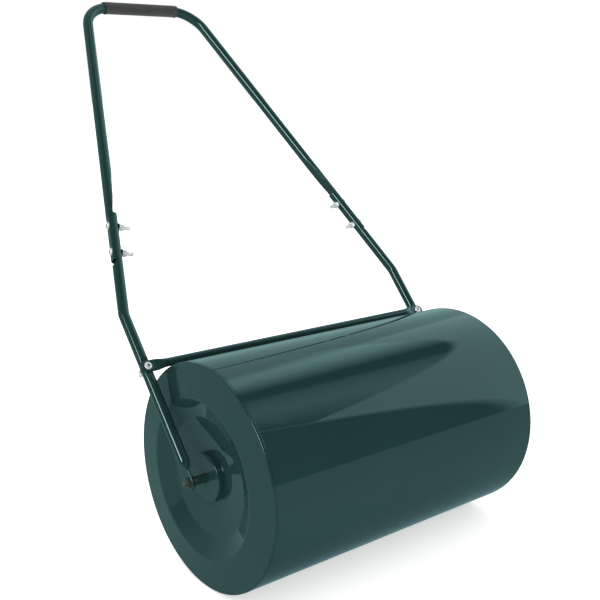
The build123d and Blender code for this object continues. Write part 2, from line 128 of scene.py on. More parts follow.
# ---- node materials --------------------------------------
class Nodes:
    """Small helper that adds and links shader nodes."""

    def __init__(self, tree):
        self.tree = tree
        tree.nodes.clear()

    def add(self, kind, **settings):
        node = self.tree.nodes.new(kind)
        for key, value in settings.items():
            setattr(node, key, value)
        return node

    def link(self, source, target):
        self.tree.links.new(source, target)

    def put(self, value, target):
        """Sets an input to a number or a colour, or links it to another node's output."""
        if isinstance(value, float):
            target.default_value = value
        elif isinstance(value, tuple):
            target.default_value = (*value, 1.0)
        else:
            self.link(value, target)

    def math(self, operation, first, second=0.0):
        node = self.add("ShaderNodeMath", operation=operation)
        self.put(first, node.inputs[0])
        self.put(second, node.inputs[1])
        return node.outputs[0]

    def noise(self, coords, scale, detail=3.0, rough=0.55, distortion=0.0):
        node = self.add("ShaderNodeTexNoise")
        settings = {"Scale": scale, "Detail": detail, "Roughness": rough, "Distortion": distortion}
        for key, value in settings.items():
            node.inputs[key].default_value = value
        self.link(coords, node.inputs["Vector"])
        return node.outputs["Fac"]

    def ramp(self, source, stops):
        node = self.add("ShaderNodeValToRGB")
        elements = node.color_ramp.elements
        while len(elements) < len(stops):
            elements.new(0.5)
        for element, (place, colour) in zip(elements, stops):
            element.position = place
            element.color = (*colour, 1.0)
        self.link(source, node.inputs["Fac"])
        return node.outputs["Color"]

    def span(self, source, low, high, to_low, to_high):
        node = self.add("ShaderNodeMapRange")
        for key, value in (("From Min", low), ("From Max", high), ("To Min", to_low), ("To Max", to_high)):
            node.inputs[key].default_value = value
        self.link(source, node.inputs["Value"])
        return node.outputs["Result"]

    def mix(self, factor, first, second):
        node = self.add("ShaderNodeMix", data_type="RGBA")
        sockets = {socket.identifier: socket for socket in node.inputs}
        for key, value in (("Factor_Float", factor), ("A_Color", first), ("B_Color", second)):
            self.put(value, sockets[key])
        return {socket.identifier: socket for socket in node.outputs}["Result_Color"]

    def bump(self, shader, strength, distance, height):
        """Raises a shader's surface by a height, through its normal."""
        node = self.add("ShaderNodeBump")
        node.inputs["Strength"].default_value = strength
        node.inputs["Distance"].default_value = distance
        self.link(height, node.inputs["Height"])
        self.link(node.outputs[0], shader.inputs["Normal"])


def new_material(name):
    """A node material, with its helper, its shader and its object coordinates."""
    material = bpy.data.materials.new(name)
    material.use_nodes = True
    nodes = Nodes(material.node_tree)
    out = nodes.add("ShaderNodeOutputMaterial")
    shader = nodes.add("ShaderNodeBsdfPrincipled")
    nodes.link(shader.outputs[0], out.inputs["Surface"])
    coords = nodes.add("ShaderNodeTexCoord").outputs["Object"]
    return material, nodes, shader, coords


def edge_wear(nodes, coords, width, patchiness):
    """1 on worn convex edges, 0 elsewhere, broken up by noise."""
    bevel = nodes.add("ShaderNodeBevel", samples=4)
    bevel.inputs["Radius"].default_value = width
    geometry = nodes.add("ShaderNodeNewGeometry")
    dot = nodes.add("ShaderNodeVectorMath", operation="DOT_PRODUCT")
    nodes.link(bevel.outputs[0], dot.inputs[0])
    nodes.link(geometry.outputs["Normal"], dot.inputs[1])
    edge = nodes.span(dot.outputs["Value"], 0.995, 0.93, 0.0, 1.0)
    patches = nodes.span(nodes.noise(coords, patchiness, 4.0), 0.52, 0.66, 0.0, 1.0)
    return nodes.math("MULTIPLY", edge, patches)


def enamel(name, deep, light, peel, wear=0.35):
    """Glossy sprayed enamel: slow tone drift, orange peel, dust haze and faint edge wear."""
    material, nodes, shader, coords = new_material(name)
    drift = nodes.noise(coords, 5.0, 2.0)
    fine = nodes.noise(coords, 900.0, 2.0)
    tone = nodes.math("ADD", nodes.math("MULTIPLY", drift, 0.8), nodes.math("MULTIPLY", fine, 0.2))
    colour = nodes.ramp(tone, ((0.25, deep), (0.75, light)))
    worn = nodes.math("MULTIPLY", edge_wear(nodes, coords, 0.0012, 160.0), wear)
    colour = nodes.mix(worn, colour, tuple(0.5 * c + 0.05 for c in light))
    nodes.link(colour, shader.inputs["Base Color"])
    haze = nodes.span(nodes.noise(coords, 38.0, 5.0, 0.7), 0.3, 0.8, 0.0, 0.035)
    rough = nodes.math("ADD", nodes.math("ADD", haze, 0.012), nodes.math("MULTIPLY", worn, 0.3))
    nodes.link(rough, shader.inputs["Roughness"])
    height = nodes.math(
        "ADD",
        nodes.noise(coords, 260.0, 1.5),
        nodes.math("MULTIPLY", nodes.noise(coords, 24.0, 1.0), 2.0),
    )
    nodes.bump(shader, peel, 0.0002, height)
    shader.inputs["IOR"].default_value = 1.5
    return material


def plated(name, colour, rough, streaks, stain=None, stain_amount=0.0, metal=1.0):
    """Plated steel with machining streaks, blotches, scattered stains and painted shade in its hollows."""
    material, nodes, shader, coords = new_material(name)
    cloudy = nodes.noise(coords, 420.0, 4.0, 0.6)
    low = tuple(0.62 * c for c in colour)
    base = nodes.ramp(cloudy, ((0.3, low), (0.62, colour)))
    if stain is not None:
        spots = nodes.span(nodes.noise(coords, 700.0, 5.0, 0.7), 0.5, 0.68, 0.0, stain_amount)
        base = nodes.mix(spots, base, stain)
    # painted shade: ambient occlusion turns the colour near black and weakens reflection in sockets, threads
    # and the feet of nuts
    hollow_shade = nodes.add("ShaderNodeAmbientOcclusion", samples=8, only_local=True)
    hollow_shade.inputs["Distance"].default_value = 0.004
    unshaded = nodes.span(hollow_shade.outputs["AO"], 0.30, 0.75, 0.0, 1.0)
    base = nodes.mix(unshaded, tuple(0.03 * c for c in colour), base)
    nodes.link(base, shader.inputs["Base Color"])
    nodes.link(nodes.math("MULTIPLY", unshaded, 0.5), shader.inputs["Specular IOR Level"])
    shader.inputs["Metallic"].default_value = metal
    nodes.link(nodes.span(cloudy, 0.2, 0.8, rough, rough + 0.16), shader.inputs["Roughness"])
    nodes.bump(shader, streaks, 0.00006, nodes.noise(coords, 2600.0, 3.0, 0.6, 0.4))
    return material


def moulded(name, colour, rough, grain, grain_scale, depth):
    """Moulded plastic, rubber or nylon with a fine skin texture."""
    material, nodes, shader, coords = new_material(name)
    cloudy = nodes.noise(coords, 90.0, 4.0)
    low = tuple(0.8 * c for c in colour)
    high = tuple(1.15 * c for c in colour)
    nodes.link(nodes.ramp(cloudy, ((0.3, low), (0.7, high))), shader.inputs["Base Color"])
    nodes.link(nodes.span(cloudy, 0.3, 0.7, rough - 0.06, rough + 0.06), shader.inputs["Roughness"])
    nodes.bump(shader, grain, depth, nodes.noise(coords, grain_scale, 3.0))
    return material


def foam(name):
    """Closed-cell foam: fine open pores, a dusty bloom and darker pressed patches."""
    material, nodes, shader, coords = new_material(name)
    pores = nodes.add("ShaderNodeTexVoronoi", feature="F1")
    pores.inputs["Scale"].default_value = 1500.0
    nodes.link(coords, pores.inputs["Vector"])
    cells = pores.outputs["Distance"]
    bloom = nodes.noise(coords, 60.0, 5.0, 0.65)
    base = nodes.ramp(bloom, ((0.3, (0.022, 0.022, 0.023)), (0.7, (0.037, 0.037, 0.038))))
    pit = nodes.span(cells, 0.1, 0.45, 1.0, 0.0)
    base = nodes.mix(nodes.math("MULTIPLY", pit, 0.35), base, (0.018, 0.018, 0.018))
    nodes.link(base, shader.inputs["Base Color"])
    nodes.link(nodes.span(bloom, 0.3, 0.7, 0.78, 0.92), shader.inputs["Roughness"])
    height = nodes.math("ADD", cells, nodes.math("MULTIPLY", nodes.noise(coords, 500.0, 4.0), 0.8))
    nodes.bump(shader, 0.5, 0.0003, height)
    shader.inputs["Sheen Weight"].default_value = 0.15
    shader.inputs["Sheen Roughness"].default_value = 0.6
    return material


DRUM_PAINT = enamel("drum_enamel", (0.0115, 0.035, 0.032), (0.0140, 0.042, 0.038), 0.015)
FRAME_PAINT = enamel("frame_enamel", (0.0115, 0.035, 0.032), (0.0150, 0.043, 0.039), 0.02)
ZINC = plated("bright_zinc", (0.95, 0.95, 0.94), 0.14, 0.25, metal=0.35)
AXLE_STEEL = plated("dull_axle_plating", (0.17, 0.18, 0.165), 0.34, 0.4, (0.09, 0.07, 0.055), 0.4, metal=0.8)
TUBE_STEEL = plated("drawn_tube_steel", (0.42, 0.41, 0.40), 0.34, 0.5, (0.18, 0.10, 0.06), 0.5)
BLACK_STEEL = plated("black_oxide", (0.035, 0.035, 0.037), 0.38, 0.4)
NYLON = moulded("white_nylon", (0.62, 0.61, 0.57), 0.42, 0.25, 900.0, 0.0001)
RUBBER = moulded("black_rubber", (0.020, 0.020, 0.021), 0.62, 0.5, 700.0, 0.0002)
PLUG_PLASTIC = moulded("black_plug_plastic", (0.018, 0.018, 0.019), 0.40, 0.6, 1400.0, 0.00015)
FOAM = foam("grip_foam")


# ---- mesh helpers ----------------------------------------
def cut_hole(piece, matrix, radius, reach):
    """Cuts a round hole through a piece, along a matrix's z axis."""
    work = bmesh.new()
    bmesh.ops.create_cone(
        work, cap_ends=True, segments=96, radius1=radius, radius2=radius, depth=2 * reach, matrix=matrix
    )
    tool_mesh = bpy.data.meshes.new("hole_tool")
    work.to_mesh(tool_mesh)
    work.free()
    tool = bpy.data.objects.new("hole_tool", tool_mesh)
    bpy.context.scene.collection.objects.link(tool)
    cutting = piece.modifiers.new("hole", "BOOLEAN")
    cutting.object = tool
    cutting.operation = "DIFFERENCE"
    cutting.solver = "EXACT"
    bpy.context.view_layer.update()
    evaluated = piece.evaluated_get(bpy.context.evaluated_depsgraph_get())
    mesh = bpy.data.meshes.new_from_object(evaluated)
    piece.modifiers.clear()
    piece.data = mesh
    bpy.data.objects.remove(tool)
    bpy.data.meshes.remove(tool_mesh)
    return mesh


def finish_piece(name, verts, faces, material, body, nodes, hole=None):
    """Makes the mesh, shades it, gives it its material, body and the nodes it replaces."""
    mesh = bpy.data.meshes.new(name)
    mesh.from_pydata([tuple(v) for v in verts], [], faces)
    mesh.validate()
    work = bmesh.new()
    work.from_mesh(mesh)
    bmesh.ops.remove_doubles(work, verts=work.verts, dist=1e-7)
    bmesh.ops.dissolve_degenerate(work, dist=1e-8, edges=work.edges)
    bmesh.ops.recalc_face_normals(work, faces=work.faces)
    work.to_mesh(mesh)
    work.free()
    piece = bpy.data.objects.new(name, mesh)
    bpy.context.scene.collection.objects.link(piece)
    if hole:
        mesh = cut_hole(piece, *hole)
    mesh.shade_smooth()
    weighted = piece.modifiers.new("weighted", "WEIGHTED_NORMAL")
    weighted.weight = 90
    weighted.keep_sharp = True
    mesh.materials.append(material)
    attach(piece, body)
    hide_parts(*nodes)
    return piece


def rounded(points, radii, steps):
    """Closed polyline in a plane with its corners rounded; a radius of 0 keeps a corner."""
    result = []
    count = len(points)
    for index, point in enumerate(points):
        here = Vector(point)
        radius = radii[index]
        if radius == 0:
            result.append(here)
            continue
        before = Vector(points[index - 1]) - here
        after = Vector(points[(index + 1) % count]) - here
        angle = before.angle(after)
        setback = radius / math.tan(angle / 2)
        setback = min(setback, 0.49 * before.length, 0.49 * after.length)
        radius = setback * math.tan(angle / 2)
        centre = here + (before.normalized() + after.normalized()).normalized() * radius / math.sin(angle / 2)
        start = here + before.normalized() * setback - centre
        end = here + after.normalized() * setback - centre
        for step in range(steps + 1):
            result.append(centre + start.slerp(end, step / steps, start).normalized() * radius)
    return result


def revolve(name, profile, material, body, nodes, segments, side=1, hole=None):
    """Closed ring of a (along, radius) profile turned about the axle; side -1 mirrors it."""
    verts = []
    for turn in range(segments):
        angle = 2 * math.pi * turn / segments
        for along, radius in profile:
            verts.append(AXLE + Vector((radius * math.cos(angle), side * along, radius * math.sin(angle))))
    rows = len(profile)
    faces = []
    for turn in range(segments):
        after = (turn + 1) % segments
        for row in range(rows):
            below = (row + 1) % rows
            faces.append((turn * rows + row, turn * rows + below, after * rows + below, after * rows + row))
    finish_piece(name, verts, faces, material, body, nodes, hole)


def stadium(width, thick, count):
    """Points round a tube section, evenly spread so that neighbouring sections match."""
    radius = thick / 2
    straight = max(width - thick, 0.0)
    length = 2 * straight + 2 * math.pi * radius
    points = []
    for index in range(count):
        run = length * ((index + 0.5) / count)
        if run < straight:
            points.append((straight / 2 - run, radius))
            continue
        run -= straight
        if run < math.pi * radius:
            angle = math.pi / 2 + run / radius
            points.append((-straight / 2 + radius * math.cos(angle), radius * math.sin(angle)))
            continue
        run -= math.pi * radius
        if run < straight:
            points.append((-straight / 2 + run, -radius))
            continue
        run -= straight
        angle = -math.pi / 2 + run / radius
        points.append((straight / 2 + radius * math.cos(angle), radius * math.sin(angle)))
    return points


def ease(value):
    """Smooth step from 0 to 1."""
    value = min(max(value, 0.0), 1.0)
    return value * value * (3 - 2 * value)


def soft_limit(value, limit, blend):
    """The value, held under a limit, with the corner between the two rounded off."""
    if value < limit - blend:
        return value
    if value > limit + blend:
        return limit
    return limit - (limit + blend - value) ** 2 / (4 * blend)


def along_run(run, place, before, after):
    """Value of a run of (place, value) pairs, with fixed values outside it."""
    if place < run[0][0]:
        return before
    for (low, first), (high, second) in zip(run, run[1:]):
        if place <= high:
            return first + (second - first) * (place - low) / (high - low)
    return after


def tube_rings(stations, count):
    """Vertex rings for stations of (centre, wide axis, thin axis, width, thickness, limits)."""
    rings = []
    for centre, wide, thin, width, thick, (front, low, high) in stations:
        ring = []
        for x, y in stadium(width, thick, count):
            x = soft_limit(x, front, PRESS_BLEND)
            y = soft_limit(y, high, PRESS_BLEND)
            y = -soft_limit(-y, -low, PRESS_BLEND)
            ring.append(centre + wide * x + thin * y)
        rings.append(ring)
    return rings


def ring_faces(row_count, count, closed):
    """Faces between neighbouring rings, and from the last ring to the first when closed."""
    faces = []
    for row in range(row_count if closed else row_count - 1):
        low = row * count
        high = (row + 1) % row_count * count
        for index in range(count):
            after = (index + 1) % count
            faces.append((low + index, low + after, high + after, high + index))
    return faces


def fan(start, count, centre):
    """Triangles from a ring, which begins at a vertex number, to a centre vertex."""
    return [(start + index, start + (index + 1) % count, centre) for index in range(count)]


def skin(rings):
    """Verts and faces over a list of equal rings, capped by a fan at each end."""
    verts = [v for ring in rings for v in ring]
    count = len(rings[0])
    faces = ring_faces(len(rings), count, closed=False)
    for row in (0, len(rings) - 1):
        verts.append(sum(rings[row], Vector()) / count)
        faces += fan(row * count, count, len(verts) - 1)
    return verts, faces


# ---- tube routes -----------------------------------------
# limits are (front, low, high) distances from a tube's axis that its surface is pressed back to
PRESS_BLEND = 0.0004
FREE = (1.0, -1.0, 1.0)


def leg_station(side, across, up, tilt, width, thick, limits=FREE):
    """Tube station in the handle frame; side -1 mirrors it to the left."""
    centre = frame_point(side * across, up)
    thin = RIGHT * (side * math.cos(tilt)) + UP_FRAME * math.sin(tilt)
    return (centre, FRONT, thin, width, thick, limits)


def seat_limit(up):
    """How far forward the arm reaches, with the flat pressed under the brace's eye."""
    away = abs(up - BRACE_HEIGHT) - BRACE_SEAT_HALF
    return BRACE_SEAT + max(away, 0.0) * BRACE_SEAT_SLOPE


def arm_stations(side):
    """The arm from its rounded eye, through the bend, to its rounded lap end."""
    stations = []
    half = EYE_WIDTH / 2
    eye = ARM_OFFSET + EYE_SHIFT
    for step in range(1, 10):
        angle = math.pi / 2 * step / 9
        width = max(2 * half * math.sin(angle), EYE_THICK * 1.02)
        stations.append((eye, -half * math.cos(angle), 0, width, EYE_THICK))
    first = stations[0]
    stations.insert(0, (eye, -half, 0, first[3] * 0.6, EYE_THICK * 0.55))
    stations.append((eye, EYE_LENGTH * 0.6, 0, EYE_WIDTH, EYE_THICK))
    for step in range(0, 17):
        blend = ease(step / 16)
        thick = EYE_THICK + (TUBE - EYE_THICK) * blend
        across = ARM_OFFSET + EYE_SHIFT * (1 - blend)
        stations.append((across, EYE_LENGTH + EYE_TAPER * step / 16, 0, pressed_width(TUBE, thick), thick))
    setback = BEND_RADIUS * math.tan(LEG / 2)
    low = EYE_LENGTH + EYE_TAPER
    for step in range(1, 101):
        up = low + (BEND_HEIGHT - setback - low) * step / 100
        stations.append((ARM_OFFSET, up, 0, TUBE, TUBE, (seat_limit(up), -1.0, 1.0)))
    for step in range(1, 9):
        angle = LEG * step / 8
        across = ARM_OFFSET - BEND_RADIUS * (1 - math.cos(angle))
        up = BEND_HEIGHT - setback + BEND_RADIUS * math.sin(angle)
        stations.append((across, up, angle, TUBE, TUBE))
    press_low = ARM_PRESS[0][0]
    for step in range(1, 5):
        along = setback + (press_low - setback) * step / 4
        stations.append((*leg_point(along), LEG, TUBE, TUBE))
    half = TUBE / 2
    straight = LAP_END - half
    for step in range(1, 81):
        along = press_low + (straight - press_low) * step / 80
        stations.append((*leg_point(along), LEG, TUBE, TUBE, arm_limits(along)))
    for step in range(1, 12):
        angle = math.pi / 2 * step / 11.4
        width = TUBE * math.cos(angle)
        along = straight + half * math.sin(angle)
        stations.append((*leg_point(along), LEG, width, TUBE, arm_limits(along)))
    return [leg_station(side, *station) for station in stations]


def arm_limits(along):
    """Limits of the arm's pressed section at a place along its lap."""
    high = along_run(ARM_PRESS, along, 1.0, ARM_PRESS[-1][1])
    low = along_run(ARM_SEAT, along, -1.0, ARM_SEAT[-1][1])
    return (1.0, low, high)


def bow_corner():
    """Where the bow leg's axis meets the top bar's axis."""
    start = leg_point(0, BOW_OFFSET)
    rise = (TOP_HEIGHT - start[1]) / math.cos(LEG)
    return start[0] - rise * math.sin(LEG)


def bow_limits(along, inset=0.0):
    """Limits of the bow's pressed section, measured from the bow's own axis."""
    low = along_run(BOW_PRESS, along, BOW_PRESS[0][1], -1.0) - BOW_OFFSET + inset
    high = along_run(BOW_SEAT, along, BOW_SEAT[0][1], 1.0) - BOW_OFFSET - inset
    return (1.0, low, high)


def bow_half_stations():
    """Right half of the bow from its open lap end up to the middle of the top bar."""
    stations = []
    size = BOW_SIZE
    for along, inset in ((0.012, TUBE_WALL), (0.0, TUBE_WALL), (0.0, 0.0003), (0.0003, 0.0)):
        place = LAP_START + along
        limits = bow_limits(place, inset)
        stations.append((*leg_point(place, BOW_OFFSET), LEG, size - 2 * inset, size - 2 * inset, limits))
    top = BOW_PRESS[-1][0]
    for step in range(1, 121):
        along = LAP_START + (top - LAP_START) * step / 120
        stations.append((*leg_point(along, BOW_OFFSET), LEG, size, size, bow_limits(along)))
    corner = bow_corner()
    turn = math.pi / 2 - LEG
    setback = CORNER_RADIUS * math.tan(turn / 2)
    start = Vector(leg_point(top, BOW_OFFSET))
    before = Vector((corner, TOP_HEIGHT)) - Vector((-math.sin(LEG), math.cos(LEG))) * setback
    for step in range(1, 13):
        point = start.lerp(before, step / 12)
        stations.append((point.x, point.y, LEG, size, size, FREE))
    centre = Vector((corner - setback, TOP_HEIGHT - CORNER_RADIUS))
    for step in range(1, 19):
        tilt = LEG + turn * step / 18
        point = centre + Vector((math.cos(tilt), math.sin(tilt))) * CORNER_RADIUS
        stations.append((point.x, point.y, tilt, size, size, FREE))
    for step in range(1, 5):
        stations.append(((corner - setback) * (1 - step / 4), TOP_HEIGHT, math.pi / 2, size, size, FREE))
    return stations


def mirrored_stations(half):
    """A whole symmetric route from its right half, right end first."""
    right = [leg_station(1, *station) for station in half]
    left = [leg_station(-1, *station) for station in reversed(half[:-1])]
    return right + left


def tube_piece(name, stations, node, count=36):
    """A painted tube of the frame, from its stations."""
    finish_piece(name, *skin(tube_rings(stations, count)), FRAME_PAINT, "frame", [node])


tube_piece("right_arm", arm_stations(1), "arm_right")
tube_piece("left_arm", arm_stations(-1), "arm_left")
tube_piece("bow", mirrored_stations(bow_half_stations()), "handle_bow")


# ---- cross brace -----------------------------------------
def brace_stations():
    """Brace from its left eye to its right eye; the eyes are pressed flat and rounded."""
    front = BRACE_SEAT + BRACE_EYE / 2
    half = BRACE_EYE_WIDTH / 2
    taper_end = ARM_OFFSET - half - BRACE_EYE_MARGIN
    right = []
    for step in range(0, 7):
        right.append(((taper_end - BRACE_TAPER) * step / 6, BRACE_TUBE, BRACE_TUBE))
    for step in range(1, 13):
        blend = ease(step / 12)
        thick = BRACE_TUBE + (BRACE_EYE - BRACE_TUBE) * blend
        across = taper_end - BRACE_TAPER * (1 - step / 12)
        right.append((across, pressed_width(BRACE_TUBE, thick), thick))
    turn = ARM_OFFSET + BRACE_REACH - half
    right.append((turn, BRACE_EYE_WIDTH, BRACE_EYE))
    for step in range(1, 10):
        angle = math.pi / 2 * step / 9.3
        width = max(2 * half * math.cos(angle), BRACE_EYE * 1.02)
        right.append((turn + half * math.sin(angle), width, BRACE_EYE))
    right.append((turn + half, right[-1][1] * 0.6, BRACE_EYE * 0.55))
    whole = [(-across, width, thick) for across, width, thick in reversed(right[1:])] + right
    return [
        (frame_point(across, BRACE_HEIGHT, front), UP_FRAME, FRONT, width, thick, FREE)
        for across, width, thick in whole
    ]


tube_piece("brace", brace_stations(), "cross_brace", count=40)


# ---- drum ------------------------------------------------
RIB = (-0.005, 0.112)
FLOOR_EDGE = (0.0076, 0.084)
DISH = (0.0134, 0.034)
BOSS_FACE = 0.0033
BOSS_LIP = 0.0025
BOSS_BORE = 0.0068
CENTRE_TUBE_R = 0.011
CAP_FLANGE = 0.014
SEAM = 0.0002


def shell_profile():
    """Cross-section of the rolled shell, with softly broken end edges."""
    outer = DRUM_R
    inner = outer - SHEET
    points = ((-SHELL_END, inner), (-SHELL_END, outer), (SHELL_END, outer), (SHELL_END, inner))
    edges = rounded(points, (0.0003, 0.0005, 0.0005, 0.0003), 3)
    result = []
    for index, point in enumerate(edges):
        result.append(point)
        after = edges[(index + 1) % len(edges)]
        if (after - point).length > SHELL_END:
            for step in range(1, 24):
                result.append(point.lerp(after, step / 24))
    return result


revolve("shell", shell_profile(), DRUM_PAINT, "drum", ["drum_shell"], segments=256)


def cap_profile():
    """Cross-section of an end cap: rim round, flange inside the shell, rib, cone and dish."""
    rim_foot = DRUM_R - RIM_ROUND - 0.001
    flange_r = DRUM_R - 2 * SHEET
    face = [
        (HALF, rim_foot),
        (HALF - RIB[0], RIB[1]),
        (HALF - FLOOR_EDGE[0], FLOOR_EDGE[1]),
        (HALF - DISH[0], DISH[1]),
        (HALF - DISH[0], CENTRE_TUBE_R),
    ]
    back = [(along - SHEET, radius) for along, radius in reversed(face)]
    edge = [
        (SHELL_END - SHEET, flange_r),
        (SHELL_END - CAP_FLANGE, flange_r),
        (SHELL_END - CAP_FLANGE, DRUM_R - SHEET),
        (SHELL_END + SEAM, DRUM_R - SHEET),
        (SHELL_END + SEAM, DRUM_R - 0.0003),
        (HALF, DRUM_R - 0.0003),
    ]
    radii = [0.0015, 0.009, 0.007, 0.002, 0]
    radii += [0, 0.002, 0.0055, 0.0075, 0.003]
    radii += [0.003, 0, 0, 0, 0.0003, 0.0035]
    return rounded(face + back + edge, radii, 8)


FILLER_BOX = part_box("filler_collar")
FILLER = (FILLER_BOX[0] + FILLER_BOX[1]) / 2
FILLER.y = FILLER_BOX[1].y
COLLAR_R = 0.017
FILLER_TURN = Matrix.Translation(FILLER) @ Matrix.Rotation(math.pi / 2, 4, "X")
filler_hole = (FILLER_TURN, COLLAR_R - SEAM, 0.03)
revolve("left_cap", cap_profile(), DRUM_PAINT, "drum", ["end_cap_left"], 256, -1)
revolve("right_cap", cap_profile(), DRUM_PAINT, "drum", ["end_cap_right"], 256, 1, filler_hole)


def boss_profile():
    """Hub boss: a low round drum with a soft shoulder and a lip over the bush."""
    inside = HALF - DISH[0]
    face = HALF - BOSS_FACE
    foot = DISH[1]
    points = (
        (inside - SEAM, CENTRE_TUBE_R),
        (inside - SEAM, foot + 0.001),
        (inside + 0.0008, foot),
        (face, foot - 0.0007),
        (face - 0.0003, 0.0120),
        (face - 0.0004, BOSS_BORE),
        (face - BOSS_LIP, BOSS_BORE),
        (face - BOSS_LIP, CENTRE_TUBE_R),
    )
    return rounded(points, (0, 0, 0.0008, 0.0014, 0.004, 0.0005, 0.0002, 0), 8)


# inner radius, outer radius, length
BUSH = (0.0051, 0.009, 0.024)


def bush_profile():
    """Plain bush with broken edges, flush with the centre tube's end."""
    inner, outer, length = BUSH
    end = HALF - BOSS_FACE - BOSS_LIP
    points = ((end - length, inner), (end - length, outer), (end, outer), (end, inner))
    return rounded(points, (0.0003, 0.0004, 0.0004, 0.0003), 5)


def ring_profile(box, inner, outer):
    """Rectangular ring section over a box's length, for washers and spacers."""
    start = box[0].y
    end = box[1].y
    points = ((start, inner), (start, outer), (end, outer), (end, inner))
    return rounded(points, (EDGE_BREAK / 2, EDGE_BREAK, EDGE_BREAK, EDGE_BREAK / 2), 4)


SPACER_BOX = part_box("spacer_right")
WASHER_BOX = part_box("axle_washer_right")
NUT_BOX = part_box("axle_nut_right")
INNER_NUT_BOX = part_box("inner_nut_right")
EDGE_BREAK = 0.0003
SPACER_RADII = (0.00505, 0.0062)
AXLE_WASHER_RADII = (0.0042, 0.008)
for side, word in ((-1, "left"), (1, "right")):
    revolve(word + "_boss", boss_profile(), DRUM_PAINT, "drum", ["hub_boss_" + word], 160, side)
    revolve(word + "_bush", bush_profile(), NYLON, "drum", ["bush_" + word], 96, side)
    spacer = ring_profile(SPACER_BOX, *SPACER_RADII)
    revolve(word + "_spacer", spacer, FRAME_PAINT, "frame", ["spacer_" + word], 96, side)
    washer = ring_profile(WASHER_BOX, *AXLE_WASHER_RADII)
    revolve(word + "_axle_washer", washer, AXLE_STEEL, "frame", ["axle_washer_" + word], 96, side)


# ---- bolts, nuts and other turned pieces -----------------
def ring_stack(rows, count, frame_matrix):
    """Rings of (height, radius function or number), placed by a matrix whose z is the axis."""
    rings = []
    for height, radius in rows:
        ring = []
        for index in range(count):
            angle = 2 * math.pi * index / count
            reach = radius(angle) if callable(radius) else radius
            ring.append(frame_matrix @ Vector((reach * math.cos(angle), reach * math.sin(angle), height)))
        rings.append(ring)
    return rings


def hexagonal(flats, corner):
    """Radius function of a hexagon whose corners are cut back by a distance."""

    def reach(angle):
        local = (angle % (math.pi / 3)) - math.pi / 6
        sharp = flats / 2 / math.cos(local)
        limit = flats / 2 / math.cos(math.pi / 6) - corner
        return min(sharp, limit)

    return reach


def capped(flats, limit):
    """Radius function of a hexagon cut back to a circle, as a nut's chamfer does."""
    inner = hexagonal(flats, 0.0001)
    return lambda angle: min(inner(angle), limit)


def nut_rows(flats, height, hole):
    """A chamfered hexagon nut as a closed loop of rings."""
    across = flats / 2
    face = across * 0.97
    corner = across / math.cos(math.pi / 6)
    steps = 5
    chamfer = []
    for step in range(steps + 1):
        rise = step / steps
        chamfer.append((0.0001 + 0.09 * height * rise, capped(flats, face + (corner - face) * rise)))
    mouth = hole * 1.14
    depth = hole * 0.14
    rows = [(0.0, across * 0.96)]
    rows += chamfer
    rows += [(height - rise, reach) for rise, reach in reversed(chamfer)]
    rows += [(height, across * 0.95), (height, mouth), (height - depth, hole), (depth, hole), (0.0, mouth)]
    return rows


def closed_rings(rows, count, matrix):
    """Verts and faces of a closed loop of rings."""
    rings = ring_stack(rows, count, matrix)
    return [v for ring in rings for v in ring], ring_faces(len(rings), count, closed=True)


def stand(origin, axis, hint):
    """Matrix that stands a piece on a point, with z along an axis and x towards a hint."""
    z = axis.normalized()
    x = (hint - z * hint.dot(z)).normalized()
    y = z.cross(x)
    matrix = Matrix((x, y, z)).transposed().to_4x4()
    matrix.translation = origin
    return matrix


def thread_rings(radius, pitch, start, end, matrix, count=32, per_turn=12):
    """Vertex rings of a helical thread, faded out at both ends."""
    depth = 0.22 * pitch
    rows = []
    total = max(int((end - start) / pitch * per_turn), 2)
    for step in range(total + 1):
        height = start + (end - start) * step / total
        fade = min(1.0, (height - start) / pitch, (end - height) / (0.8 * pitch))
        ring = []
        for index in range(count):
            angle = 2 * math.pi * index / count
            phase = (height / pitch - angle / (2 * math.pi)) % 1.0
            ridge = 1 - abs(2 * phase - 1)
            ridge = min(max((ridge - 0.12) / 0.76, 0.0), 1.0)
            reach = radius - depth * (1 - ridge) * max(fade, 0.0)
            if height > end - 0.6 * pitch:
                reach = min(reach, radius - (height - (end - 0.6 * pitch)) * 0.8)
            ring.append(matrix @ Vector((reach * math.cos(angle), reach * math.sin(angle), height)))
        rows.append(ring)
    return rows


def combine(parts):
    """Joins several (verts, faces) into one."""
    verts, faces = [], []
    for more_verts, more_faces in parts:
        base = len(verts)
        verts.extend(more_verts)
        faces.extend(tuple(index + base for index in face) for face in more_faces)
    return verts, faces


def nut_mesh(matrix, flats, height, hole):
    """Hexagon nut that stands on a matrix."""
    return closed_rings(nut_rows(flats, height, hole), 96, matrix)


def washer_mesh(matrix, hole, radius, height):
    """Round washer with broken edges that stands on a matrix."""
    edge = 0.0002
    rows = [(0.0, hole), (0.0, radius - edge), (edge / 2, radius - edge / 4), (edge, radius)]
    rows += [(height - edge, radius), (height - edge / 2, radius - edge / 4), (height, radius - edge)]
    rows += [(height, hole + edge), (height - edge, hole)]
    return closed_rings(rows, 64, matrix)


